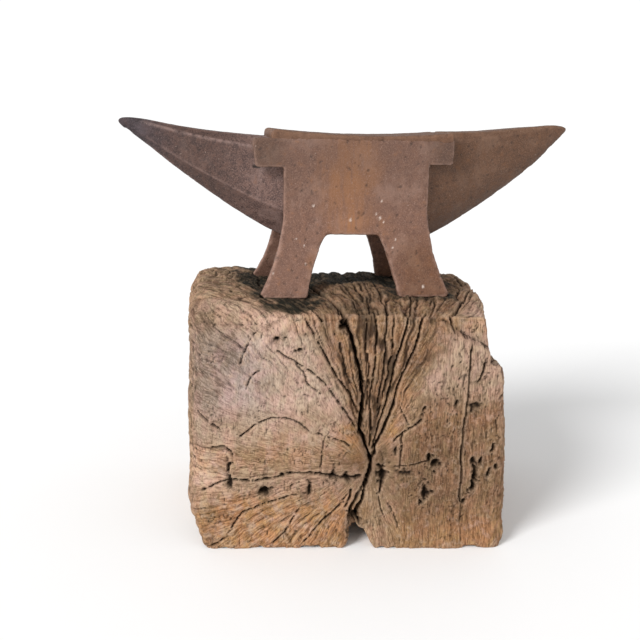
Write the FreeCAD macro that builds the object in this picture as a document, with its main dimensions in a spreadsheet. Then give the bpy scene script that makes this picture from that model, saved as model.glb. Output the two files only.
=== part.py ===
import FreeCAD, Part
import math
import os

import Sketcher
from FreeCAD import Placement, Rotation, Vector

# Two-beaked blacksmith's anvil on its wood block.
#
# The anvil is built up the old way: a core bar with two tenoned beaks, a face plate on top,
# and two T-shaped cheek plates whose legs splay out to four feet.  Cross rivets hold the
# cheeks, the core and the tenons together.  The anvil stands loose on a chunk of tree trunk.
#
# Frame: millimetres, +X along the anvil towards the round beak, +Y to the back, +Z up.
# The origin is on the ground, in the middle of the whole object.

DIMENSIONS = {
    # wood block: a chunk of trunk, not quite square in plan and wider at its foot
    "block_front_left": -95.5,
    "block_front_right": -124.5,
    "block_back_left": 124.5,
    "block_back_right": 98.0,
    "block_left": 169.5,
    "block_left_foot": 155.0,
    "block_left_top": 163.0,
    "block_left_back": 126.0,
    "block_left_waist": 28.0,
    "block_right": 145.0,
    "block_right_top": 126.0,
    "block_right_back": 156.0,
    "corner_cut": 17.0,
    "widest_level": 45.0,
    "block_front_edge": 235.0,
    "block_back_edge": 241.0,
    "mound_height": 252.0,
    "mound_half": 40.0,
    "mound_front": -24.0,
    "mound_back": 35.0,
    "left_rim_rise": 2.0,
    "rim_radius": 22.0,
    "right_rim_radius": 15.0,
    "shoulder_level": 190.0,
    "shoulder_front": 118.0,
    "shoulder_back": 176.0,
    "notch_left": -17.0,
    "notch_right": 14.0,
    "notch_height": 21.0,
    "notch_taper": 10.0,
    "seat_depth": 1.5,
    "seat_gap": 0.3,
    "seat_clearance": 2.0,
    "waist_step": 2.0,
    "rim_step": 1.0,
    # how far a cutting outline reaches past the metal or wood
    "overcut": 10.0,
    # where the anvil stands: its own frame has z = 0 under the feet
    "foot_level": 242.0,
    "anvil_back": 13.5,
    # core bar
    "core_half": 41.0,
    "body_left": 70.0,
    "body_right": 73.0,
    "body_top": 156.0,
    "core_left_root": 57.5,
    "core_right_root": 51.5,
    "core_bottom": 63.5,
    "core_step": 2.0,
    # face plate
    "face_left": 85.8,
    "face_right": 97.0,
    "face_left_top": 165.8,
    "face_right_top": 164.8,
    "face_dish": 4.6,
    "face_end_radius": 5.0,
    "face_edge_radius": 2.0,
    # cheek plates
    "cheek_thickness": 9.0,
    "waist_left": 73.4,
    "arm_left": 105.0,
    "arm_lean": 3.8,
    "arm_right": 98.0,
    "arm_left_bottom": 129.5,
    "arm_right_bottom": 133.5,
    "arm_corner_radius": 3.0,
    "leg_top": 98.0,
    "foot_outer": 97.0,
    "left_foot_inner": 50.0,
    "right_foot_inner": 44.0,
    "foot_heel_height": 4.0,
    "foot_heel_width": 3.0,
    "arch_left": 30.5,
    "arch_right": 24.0,
    "arch_top": 62.8,
    "arch_corner_radius": 6.0,
    "left_leg_radius": 165.0,
    "right_leg_radius": 240.0,
    "inner_leg_radius": 240.0,
    "splay_height": 64.0,
    "splay_out": 13.0,
    # beak sections, as shares of the half width and of the depth
    "left_keel": 0.35,
    "left_chine": 0.9,
    "left_chine_rise": 0.28,
    "left_crown_fall": 0.12,
    "left_crown": 0.55,
    "right_keel": 0.25,
    "right_wall_rise": 0.5,
    "right_crown_fall": 0.08,
    "right_crown": 0.85,
    "plate_overlap": 5.0,
    # tenons and rivets
    "tenon_length": 40.0,
    "tenon_width": 24.0,
    "tenon_height": 44.0,
    "tenon_level": 108.0,
    "rivet_radius": 6.0,
    "tenon_rivet_x": 50.0,
    "arch_rivet_x": 20.0,
    "arch_rivet_level": 82.0,
}

# Beak stations from root to tip: distance along X, half width, top and bottom heights.
LEFT_STATIONS = [
    (-70.0, 41.0, 157.2, 57.5),
    (-112.0, 31.0, 159.7, 79.5),
    (-155.0, 20.5, 163.8, 108.0),
    (-195.0, 11.0, 170.0, 138.0),
    (-221.0, 6.2, 173.8, 157.6),
    (-235.2, 4.0, 173.8, 166.4),
]
RIGHT_STATIONS = [
    (73.0, 41.0, 164.8, 51.5),
    (113.0, 32.0, 165.6, 71.5),
    (150.0, 23.5, 167.6, 95.5),
    (185.0, 15.5, 171.0, 121.0),
    (210.0, 10.0, 173.6, 142.2),
    (224.0, 6.2, 174.2, 156.8),
    (234.8, 2.4, 171.6, 168.2),
]


def fill_sheet(doc):
    """Put every driving dimension in the sheet, one row each, with its name as alias."""
    sheet = doc.addObject("Spreadsheet::Sheet", "Dims")
    rows = dict(DIMENSIONS)
    for side, stations in (("left", LEFT_STATIONS), ("right", RIGHT_STATIONS)):
        for index, station in enumerate(stations):
            for word, size in zip(("along", "half", "top", "bottom"), station):
                rows[f"{side}_{word}_{index}_station"] = size
    for row, (name, size) in enumerate(rows.items(), start=1):
        sheet.set(f"A{row}", name)
        sheet.set(f"B{row}", str(size))
        sheet.setAlias(f"B{row}", name)
    doc.recompute()
    return sheet


def expand(text):
    """Write a formula over the sheet's names in the form that expressions need."""
    words = []
    word = ""
    for letter in text + " ":
        if letter.isalnum() or letter == "_":
            word += letter
            continue
        if word and word[0].isalpha() and word not in ("sqrt", "abs", "max", "min"):
            word = "Dims." + word
        words.append(word + letter)
        word = ""
    return "".join(words).strip()


def number(doc, text):
    """Value of a formula over the sheet's names."""
    result = doc.Dims.evalExpression(expand(text))
    return float(getattr(result, "Value", result))


def new_body(doc, label, placed=True):
    """Empty body; the anvil's bodies are placed at the feet, the block's is not."""
    body = doc.addObject("PartDesign::Body", label)
    body.Label = label
    if placed:
        body.setExpression("Placement.Base.y", "Dims.anvil_back")
        body.setExpression("Placement.Base.z", "Dims.foot_level")
    return body


def new_sketch(doc, body, name, plane, offset=None):
    """Sketch on one of the body's origin planes, moved along the plane's normal."""
    sketch = body.newObject("Sketcher::SketchObject", name)
    roles = {feature.Role: feature for feature in body.Origin.OriginFeatures}
    sketch.AttachmentSupport = [(roles[plane], "")]
    sketch.MapMode = "FlatFace"
    if offset is not None:
        sketch.setExpression("AttachmentOffset.Base.z", expand(offset))
    doc.recompute()
    return sketch


def bind(sketch, constraint, formula):
    """Add a constraint and tie its value to a formula."""
    index = sketch.addConstraint(constraint)
    sketch.setExpression(f"Constraints[{index}]", expand(formula))


def draw_outline(doc, sketch, corners, arcs=None):
    """Closed outline through the corners, each a pair of formulas.

    arcs maps a side's number to (radius formula, side of the chord): +1 bows the side to
    the left of the direction of travel, -1 to the right.
    """
    arcs = arcs or {}
    places = [Vector(number(doc, x), number(doc, y), 0) for x, y in corners]
    count = len(corners)
    first = sketch.GeometryCount
    starts = []
    for side, start in enumerate(places):
        end = places[(side + 1) % count]
        if side not in arcs:
            sketch.addGeometry(Part.LineSegment(start, end), False)
            starts.append((first + side, 1, 2))
            continue
        formula, bow = arcs[side]
        radius = number(doc, formula)
        chord = end - start
        left = Vector(-chord.y, chord.x, 0).normalize()
        height = radius - math.sqrt(radius ** 2 - (chord.Length / 2) ** 2)
        middle = (start + end) / 2 + left * (bow * height)
        made = sketch.addGeometry(Part.Arc(start, middle, end), False)
        # a sketch keeps every arc counter-clockwise, so its first end may be either one
        forward = (sketch.getPoint(made, 1) - start).Length < (sketch.getPoint(made, 2) - start).Length
        starts.append((made, 1, 2) if forward else (made, 2, 1))
    for side in range(count):
        here = starts[side]
        after = starts[(side + 1) % count]
        sketch.addConstraint(Sketcher.Constraint("Coincident", here[0], here[2], after[0], after[1]))
    for side, (x, y) in enumerate(corners):
        geometry, begin, _ = starts[side]
        across = Sketcher.Constraint("DistanceX", -1, 1, geometry, begin, places[side].x)
        up = Sketcher.Constraint("DistanceY", -1, 1, geometry, begin, places[side].y)
        bind(sketch, across, x)
        bind(sketch, up, y)
    for side, (formula, _) in arcs.items():
        radius = Sketcher.Constraint("Radius", starts[side][0], number(doc, formula))
        bind(sketch, radius, formula)
    doc.recompute()


def draw_circle(doc, sketch, x, y, radius):
    """Circle whose centre and radius are formulas."""
    centre = Vector(number(doc, x), number(doc, y), 0)
    index = sketch.addGeometry(Part.Circle(centre, Vector(0, 0, 1), number(doc, radius)), False)
    bind(sketch, Sketcher.Constraint("DistanceX", -1, 1, index, 3, centre.x), x)
    bind(sketch, Sketcher.Constraint("DistanceY", -1, 1, index, 3, centre.y), y)
    bind(sketch, Sketcher.Constraint("Radius", index, number(doc, radius)), radius)
    doc.recompute()


def pad(doc, body, name, sketch, length, symmetric=False, reverse=False):
    """Solid from a sketch, as long as a formula says."""
    feature = body.newObject("PartDesign::Pad", name)
    feature.Profile = sketch
    feature.SideType = "Symmetric" if symmetric else "One side"
    feature.Reversed = reverse
    feature.setExpression("Length", expand(length))
    doc.recompute()
    return feature


def pocket(doc, body, name, sketch, length, symmetric=True, reverse=False):
    """Cut from a sketch; stops the build if it takes nothing away."""
    before = body.Shape.Volume
    feature = body.newObject("PartDesign::Pocket", name)
    feature.Profile = sketch
    feature.SideType = "Symmetric" if symmetric else "One side"
    feature.Reversed = reverse
    feature.setExpression("Length", expand(length))
    doc.recompute()
    if not body.Shape.Volume < before - 1.0:
        raise RuntimeError(f"{body.Label}: {name} cuts nothing")
    return feature


def fillet(doc, body, name, spots, radius):
    """Round the straight edges along Y that stand at the given (x, z) spots."""
    base = body.Tip
    wanted = [(number(doc, x), number(doc, z)) for x, z in spots]
    picked = []
    for index, edge in enumerate(base.Shape.Edges, start=1):
        ends = [vertex.Point for vertex in edge.Vertexes]
        if len(ends) != 2 or abs(ends[0].y - ends[1].y) < 1.0:
            continue
        for x, z in wanted:
            if all(abs(end.x - x) < 0.01 and abs(end.z - z) < 0.01 for end in ends):
                picked.append(f"Edge{index}")
    if len(picked) != len(wanted):
        raise RuntimeError(f"{body.Label}: {name} found {len(picked)} of {len(wanted)} edges")
    feature = body.newObject("PartDesign::Fillet", name)
    feature.Base = (base, picked)
    feature.setExpression("Radius", expand(radius))
    doc.recompute()
    return feature


def make_foot_seats(doc):
    """Four shallow boxes under the feet, a little larger than the feet."""
    near = "core_half+splay_out-seat_clearance"
    far = "core_half+cheek_thickness+splay_out+seat_clearance"
    starts = {
        "left": "-foot_outer-seat_clearance",
        "right": "right_foot_inner-seat_clearance",
    }
    lows = {
        "front": f"anvil_back-({far})",
        "back": f"anvil_back+{near}",
    }
    seats = []
    for side, start in starts.items():
        for end, low in lows.items():
            seat = doc.addObject("Part::Box", f"{side}_{end}_seat")
            seat.setExpression("Length", expand(f"foot_outer-{side}_foot_inner+2*seat_clearance"))
            seat.setExpression("Width", expand("cheek_thickness+2*seat_clearance"))
            seat.setExpression("Height", expand("mound_height-foot_level"))
            seat.setExpression("Placement.Base.x", expand(start))
            seat.setExpression("Placement.Base.y", expand(low))
            seat.setExpression("Placement.Base.z", expand("foot_level-seat_gap"))
            seats.append(seat)
    fused = doc.addObject("Part::MultiFuse", "foot_seats")
    fused.Shapes = seats
    doc.recompute()
    return fused


def block_plan(left, right):
    """Plan of the block at one level, from the front left corner round to the left side."""
    return [
        (f"-{left}", "block_front_left"),
        (right, "block_front_right"),
        ("block_right_back", "block_back_right"),
        ("-block_left_back", "block_back_left"),
        (f"-{left}+corner_cut", "block_back_left-corner_cut"),
        (f"-{left}+waist_step", "block_left_waist"),
    ]


def make_wood_block(doc):
    """Chunk of trunk: lofted sides, sloped top, split underside, and a seat for each foot."""
    body = new_body(doc, "block_blank", placed=False)
    levels = [
        ("0", "block_left_foot", "block_right"),
        ("widest_level", "block_left", "block_right"),
        ("mound_height", "block_left_top", "block_right_top"),
    ]
    sections = []
    for index, (level, left, right) in enumerate(levels):
        plan = new_sketch(doc, body, f"block_plan_{index}", "XY_Plane", offset=level)
        draw_outline(doc, plan, block_plan(left, right))
        sections.append(plan)
    loft = body.newObject("PartDesign::AdditiveLoft", "block_sides")
    loft.Profile = sections[0]
    loft.Sections = sections[1:]
    loft.Ruled = True
    doc.recompute()

    # top seen from the front: a flat for the feet, a mound between the legs, rounded rims
    flat = "(foot_level+seat_depth)"
    rise = f"(mound_height-{flat})"
    reach = "(block_left+overcut)"
    top_front = new_sketch(doc, body, "block_top_front", "XZ_Plane")
    draw_outline(doc, top_front, [
        (f"-{reach}", f"{flat}+left_rim_rise-rim_radius"),
        ("-block_left_top-rim_step", f"{flat}+left_rim_rise-rim_radius"),
        ("-block_left_top+rim_radius", f"{flat}+left_rim_rise"),
        ("-foot_outer-4*seat_clearance", flat),
        ("-mound_half", flat),
        ("mound_half", flat),
        ("block_right_back-right_rim_radius", flat),
        ("block_right_back", f"{flat}-right_rim_radius"),
        (reach, f"{flat}-right_rim_radius"),
        (reach, "mound_height+overcut"),
        (f"-{reach}", "mound_height+overcut"),
    ], {
        1: ("rim_radius+3*rim_step", 1),
        4: (f"(mound_half^2+{rise}^2)/(2*{rise})", 1),
        6: ("right_rim_radius+rim_step", 1),
    })
    pocket(doc, body, "top_front_cut", top_front, "3*block_left")

    # top seen from the side: it falls from the mound to the front edge
    front, back = "block_front_right-rim_step", "block_back_left+rim_step"
    top_side = new_sketch(doc, body, "block_top_side", "YZ_Plane")
    draw_outline(doc, top_side, [
        (front, "block_front_edge"),
        ("mound_front", "mound_height"),
        ("mound_back", f"{flat}+rim_step"),
        ("block_back_right-corner_cut", flat),
        (back, "block_back_edge"),
        (back, "mound_height+overcut"),
        (front, "mound_height+overcut"),
    ])
    pocket(doc, body, "top_side_cut", top_side, "3*block_left")

    # a layer has split off the upper right side
    shoulder = new_sketch(doc, body, "shoulder_plan", "XY_Plane", offset="shoulder_level")
    draw_outline(doc, shoulder, [
        ("shoulder_front", "block_front_right-2*rim_step"),
        (reach, "block_front_right-2*rim_step"),
        (reach, "block_back_left"),
        ("shoulder_back", "block_back_left"),
    ])
    pocket(doc, body, "shoulder_cut", shoulder, "mound_height", symmetric=False, reverse=True)

    # the split that runs down from the heart opens into a notch in the underside
    notch = new_sketch(doc, body, "notch_outline", "XZ_Plane")
    draw_outline(doc, notch, [
        ("notch_left", "0"),
        ("notch_right", "0"),
        ("notch_right-notch_taper", "notch_height"),
        ("notch_left+notch_taper", "notch_height"),
    ])
    pocket(doc, body, "notch_cut", notch, "3*block_left")

    block = doc.addObject("Part::Cut", "wood_block")
    block.Label = "wood_block"
    block.Base = body
    block.Tool = make_foot_seats(doc)
    doc.recompute()
    return block


def rivet_spots():
    """Where the four cross rivets pass through, as (name, x formula, z formula)."""
    return [
        ("tenon_rivet_left", "-tenon_rivet_x", "tenon_level"),
        ("tenon_rivet_right", "tenon_rivet_x", "tenon_level"),
        ("arch_rivet_left", "-arch_rivet_x", "arch_rivet_level"),
        ("arch_rivet_right", "arch_rivet_x", "arch_rivet_level"),
    ]


def cut_rivet_holes(doc, body, spots):
    """Rivet holes straight through a piece, front to back."""
    sketch = new_sketch(doc, body, f"{body.Label}_rivet_circles", "XZ_Plane")
    for _, x, z in spots:
        draw_circle(doc, sketch, x, z, "rivet_radius")
    pocket(doc, body, f"{body.Label}_rivet_holes", sketch, "4*(core_half+cheek_thickness)")


def make_body_core(doc):
    """Core bar between the cheeks, with a socket in each end for a beak's tenon."""
    body = new_body(doc, "body_core")
    front = new_sketch(doc, body, "core_outline", "XZ_Plane")
    corners = [
        ("-body_left", "core_left_root"),
        ("-arch_left-core_step", "core_bottom"),
        ("arch_right+core_step", "core_bottom"),
        ("body_right", "core_right_root"),
        ("body_right", "body_top"),
        ("-body_left", "body_top"),
    ]
    draw_outline(doc, front, corners)
    pad(doc, body, "core_solid", front, "2*core_half", symmetric=True)
    for side, start in (("left", "-body_left"), ("right", "body_right")):
        socket = new_sketch(doc, body, f"{side}_socket_outline", "YZ_Plane", offset=start)
        draw_tenon(doc, socket)
        pocket(doc, body, f"{side}_socket", socket, "tenon_length", symmetric=False,
               reverse=(side == "left"))
    cut_rivet_holes(doc, body, rivet_spots())
    return body


def draw_tenon(doc, sketch):
    """Rectangular section that a tenon and its socket share."""
    low = "tenon_level-tenon_height/2"
    high = "tenon_level+tenon_height/2"
    draw_outline(doc, sketch, [
        ("-tenon_width/2", low),
        ("tenon_width/2", low),
        ("tenon_width/2", high),
        ("-tenon_width/2", high),
    ])


def make_face_plate(doc):
    """Hard plate on top of the core, worn hollow along its length."""
    body = new_body(doc, "face_plate")
    front = new_sketch(doc, body, "face_outline", "XZ_Plane")
    chord = "((face_left-face_end_radius+face_right)^2+(face_right_top-face_left_top)^2)"
    corners = [
        ("-face_left", "body_top"),
        ("face_right", "body_top"),
        ("face_right", "face_right_top"),
        ("-face_left+face_end_radius", "face_left_top"),
        ("-face_left", "face_left_top-face_end_radius"),
    ]
    dish_radius = f"({chord}/4+face_dish^2)/(2*face_dish)"
    draw_outline(doc, front, corners, {2: (dish_radius, 1), 3: ("face_end_radius", -1)})
    pad(doc, body, "face_solid", front, "2*(core_half+cheek_thickness)", symmetric=True)
    base = body.Tip
    long_edges = []
    shortest = number(doc, "face_left")
    lowest = number(doc, "body_top+face_dish")
    for index, edge in enumerate(base.Shape.Edges, start=1):
        box = edge.BoundBox
        if box.XLength > shortest and box.ZMax > lowest:
            long_edges.append(f"Edge{index}")
    feature = body.newObject("PartDesign::Fillet", "worn_edges")
    feature.Base = (base, long_edges)
    feature.setExpression("Radius", "Dims.face_edge_radius")
    doc.recompute()
    return body


def make_cheek(doc, label, side):
    """T-shaped cheek plate with two legs; side is -1 for the front and +1 for the back."""
    body = new_body(doc, label)
    front = new_sketch(doc, body, f"{label}_outline", "XZ_Plane")
    corners = [
        ("-arm_left+arm_lean", "arm_left_bottom"),
        ("-waist_left", "arm_left_bottom"),
        ("-waist_left", "leg_top"),
        ("-foot_outer", "foot_heel_height"),
        ("-foot_outer+foot_heel_width", "0"),
        ("-left_foot_inner", "0"),
        ("-arch_left", "arch_top"),
        ("arch_right", "arch_top"),
        ("right_foot_inner", "0"),
        ("foot_outer-foot_heel_width", "0"),
        ("foot_outer", "foot_heel_height"),
        ("body_right", "leg_top"),
        ("body_right", "arm_right_bottom"),
        ("arm_right", "arm_right_bottom"),
        ("arm_right", "body_top"),
        ("-arm_left", "body_top"),
    ]
    arcs = {
        2: ("left_leg_radius", 1),
        5: ("inner_leg_radius", 1),
        7: ("inner_leg_radius", 1),
        10: ("right_leg_radius", 1),
    }
    draw_outline(doc, front, corners, arcs)
    # the XZ plane's normal points to the front, so the back cheek is padded the other way
    pad(doc, body, f"{label}_blank", front, "core_half+cheek_thickness+splay_out+overcut",
        reverse=(side > 0))
    arm_corners = [
        ("-arm_left+arm_lean", "arm_left_bottom"),
        ("-arm_left", "body_top"),
        ("arm_right", "arm_right_bottom"),
    ]
    fillet(doc, body, f"{label}_arm_corners", arm_corners, "arm_corner_radius")
    arch_corners = [("-arch_left", "arch_top"), ("arch_right", "arch_top")]
    fillet(doc, body, f"{label}_arch_corners", arch_corners, "arch_corner_radius")

    # everything outside the bent plate is cut away, seen from the end
    sign = "-1*" if side < 0 else "1*"
    above = "body_top+overcut"
    bend = "(splay_out^2+splay_height^2)/(2*splay_out)"
    outer = new_sketch(doc, body, f"{label}_outside", "YZ_Plane")
    face = "(core_half+cheek_thickness)"
    draw_outline(doc, outer, [
        (f"{sign}{face}", above),
        (f"{sign}{face}", "splay_height"),
        (f"{sign}({face}+splay_out)", "0"),
        (f"{sign}({face}+splay_out)", "-overcut"),
        (f"{sign}({face}+splay_out+2*overcut)", "-overcut"),
        (f"{sign}({face}+splay_out+2*overcut)", above),
    ], {1: (bend, 1 if side < 0 else -1)})
    pocket(doc, body, f"{label}_outside_cut", outer, "2*(arm_left+overcut)")
    inner = new_sketch(doc, body, f"{label}_inside", "YZ_Plane")
    draw_outline(doc, inner, [
        (f"{sign}core_half", above),
        (f"{sign}core_half", "splay_height"),
        (f"{sign}(core_half+splay_out)", "0"),
        (f"{sign}(core_half+splay_out)", "-overcut"),
        (f"{sign}(-overcut)", "-overcut"),
        (f"{sign}(-overcut)", above),
    ], {1: (bend, 1 if side < 0 else -1)})
    pocket(doc, body, f"{label}_inside_cut", inner, "2*(arm_left+overcut)")
    cut_rivet_holes(doc, body, rivet_spots())
    return body


def beak_section(side, index):
    """Corners and arcs of a beak's section: square and crowned on the left, round below
    and flat on top on the right."""
    half = f"{side}_half_{index}_station"
    top = f"{side}_top_{index}_station"
    bottom = f"{side}_bottom_{index}_station"
    depth = f"({top}-{bottom})"
    if side == "left":
        right_half = [
            (f"left_keel*{half}", bottom),
            (f"left_chine*{half}", f"{bottom}+left_chine_rise*{depth}"),
            (half, f"{top}-left_crown_fall*{depth}"),
            (f"left_crown*{half}", top),
        ]
        arcs = {}
    else:
        right_half = [
            (f"right_keel*{half}", bottom),
            (half, f"{bottom}+right_wall_rise*{depth}"),
            (half, f"{top}-right_crown_fall*{depth}"),
            (f"right_crown*{half}", top),
        ]
        # each arc leaves the upright side without a corner
        across = f"((1-right_keel)*{half})"
        round_side = f"({across}^2+(right_wall_rise*{depth})^2)/(2*{across})"
        arcs = {0: (round_side, -1), 6: (round_side, -1)}
    left_half = [(f"-{x}", z) for x, z in reversed(right_half)]
    return right_half + left_half, arcs


def make_beak(doc, label, side, stations):
    """Beak lofted through its stations, with a seat for the face plate and a tenon."""
    body = new_body(doc, label)
    sections = []
    for index in range(len(stations)):
        sketch = new_sketch(doc, body, f"{label}_section_{index}", "YZ_Plane",
                            offset=f"{side}_along_{index}_station")
        corners, arcs = beak_section(side, index)
        draw_outline(doc, sketch, corners, arcs)
        sections.append(sketch)
    loft = body.newObject("PartDesign::AdditiveLoft", f"{label}_loft")
    loft.Profile = sections[0]
    loft.Sections = sections[1:]
    loft.Ruled = False
    doc.recompute()

    plate_end = "-face_left" if side == "left" else "face_right"
    root = "-body_left+plate_overlap" if side == "left" else "body_right-plate_overlap"
    seat = new_sketch(doc, body, f"{label}_plate_seat", "XZ_Plane")
    low, high = "body_top", "body_top+3*overcut"
    ends = (plate_end, root) if side == "left" else (root, plate_end)
    draw_outline(doc, seat, [(ends[0], low), (ends[1], low), (ends[1], high), (ends[0], high)])
    pocket(doc, body, f"{label}_plate_seat_cut", seat, "4*core_half")

    start = "-body_left" if side == "left" else "body_right"
    tenon = new_sketch(doc, body, f"{label}_tenon_outline", "YZ_Plane", offset=start)
    draw_tenon(doc, tenon)
    pad(doc, body, f"{label}_tenon", tenon, "tenon_length", reverse=(side == "right"))
    held = [spot for spot in rivet_spots() if spot[0] == f"tenon_rivet_{side}"]
    cut_rivet_holes(doc, body, held)
    return body


def make_rivet(doc, name, x, z):
    """Cross rivet, hammered flush with both cheeks."""
    rivet = doc.addObject("Part::Cylinder", name)
    rivet.Label = name
    rivet.Placement = Placement(Vector(0, 0, 0), Rotation(Vector(1, 0, 0), 90))
    rivet.setExpression("Radius", "Dims.rivet_radius")
    rivet.setExpression("Height", expand("2*(core_half+cheek_thickness)"))
    rivet.setExpression("Placement.Base.x", expand(x))
    rivet.setExpression("Placement.Base.y", expand("anvil_back+core_half+cheek_thickness"))
    rivet.setExpression("Placement.Base.z", expand(f"foot_level+{z}"))
    doc.recompute()
    return rivet


def write_pieces(doc, pieces):
    """Check every object of the document, then write one file per piece."""
    for item in doc.Objects:
        if "Invalid" in item.State or "Error" in item.State:
            raise RuntimeError(f"{item.Label} failed: {item.State}")
    os.makedirs("parts", exist_ok=True)
    for piece in pieces:
        shape = piece.Shape
        if shape.isNull() or not shape.isValid() or len(shape.Solids) != 1:
            raise RuntimeError(f"{piece.Label} is not one valid solid")
        shape.exportStep(f"parts/{piece.Label}.step")
        box = shape.BoundBox
        print(f"{piece.Label:18s} {shape.Volume / 1000:9.1f} cm3  "
              f"x {box.XMin:7.1f} {box.XMax:7.1f}  y {box.YMin:7.1f} {box.YMax:7.1f}  "
              f"z {box.ZMin:7.1f} {box.ZMax:7.1f}")


def main():
    doc = FreeCAD.newDocument("anvil_on_block")
    fill_sheet(doc)
    pieces = [
        make_wood_block(doc),
        make_body_core(doc),
        make_face_plate(doc),
        make_cheek(doc, "front_cheek", -1),
        make_cheek(doc, "rear_cheek", 1),
        make_beak(doc, "left_beak", "left", LEFT_STATIONS),
        make_beak(doc, "right_beak", "right", RIGHT_STATIONS),
    ]
    for name, x, z in rivet_spots():
        pieces.append(make_rivet(doc, name, x, z))
    doc.recompute()
    write_pieces(doc, pieces)


main()
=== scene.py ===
import itertools
import math
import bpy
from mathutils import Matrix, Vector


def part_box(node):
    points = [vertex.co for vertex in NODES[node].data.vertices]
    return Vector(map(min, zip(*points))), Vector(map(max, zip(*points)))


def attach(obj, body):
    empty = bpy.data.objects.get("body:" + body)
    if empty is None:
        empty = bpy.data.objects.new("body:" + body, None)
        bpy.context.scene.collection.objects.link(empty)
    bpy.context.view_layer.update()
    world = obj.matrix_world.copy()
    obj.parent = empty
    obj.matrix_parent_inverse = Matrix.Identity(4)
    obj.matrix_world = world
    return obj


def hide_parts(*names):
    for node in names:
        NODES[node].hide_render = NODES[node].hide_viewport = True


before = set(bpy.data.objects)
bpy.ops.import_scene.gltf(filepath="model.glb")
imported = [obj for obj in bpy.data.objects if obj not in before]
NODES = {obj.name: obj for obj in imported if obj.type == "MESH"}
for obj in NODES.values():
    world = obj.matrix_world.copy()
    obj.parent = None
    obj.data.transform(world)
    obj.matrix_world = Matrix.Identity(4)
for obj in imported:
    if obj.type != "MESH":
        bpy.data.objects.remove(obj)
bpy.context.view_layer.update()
from types import SimpleNamespace

import bmesh
import bpy
import numpy as np
from mathutils import Matrix, Vector

# An anvil forged from two cheeks, a core, a face plate and two beaks, standing on a block of
# weathered wood. The shapes are worked out in millimetres; the meshes are in metres.

MM = 0.001
FINE = 1.2  # side of a face on the front and top of the wood
IRON_FINE = 1.3  # side of a face on the iron

# ------------------------ the wood's layout, in millimetres
HEART = (7, 87.6)  # x and z of the line, front to back, where the rays meet
FRONT_LINE = (-170, -95.5, 145, -124.5)  # plan of the front face: x, y to x, y
FAN_REACH = 150  # from the heart up to the front's top edge
TOP_FAN = 105  # how far back the fan keeps opening on the top
FOOT_TOP = 243  # just above the feet's undersides
SEAT_LEVEL = 225  # the wood above this height keeps clear of the feet,
SEAT_ROOM, FOOT_GAP = 2.5, 0.3  # this far round them and this far under them

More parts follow.
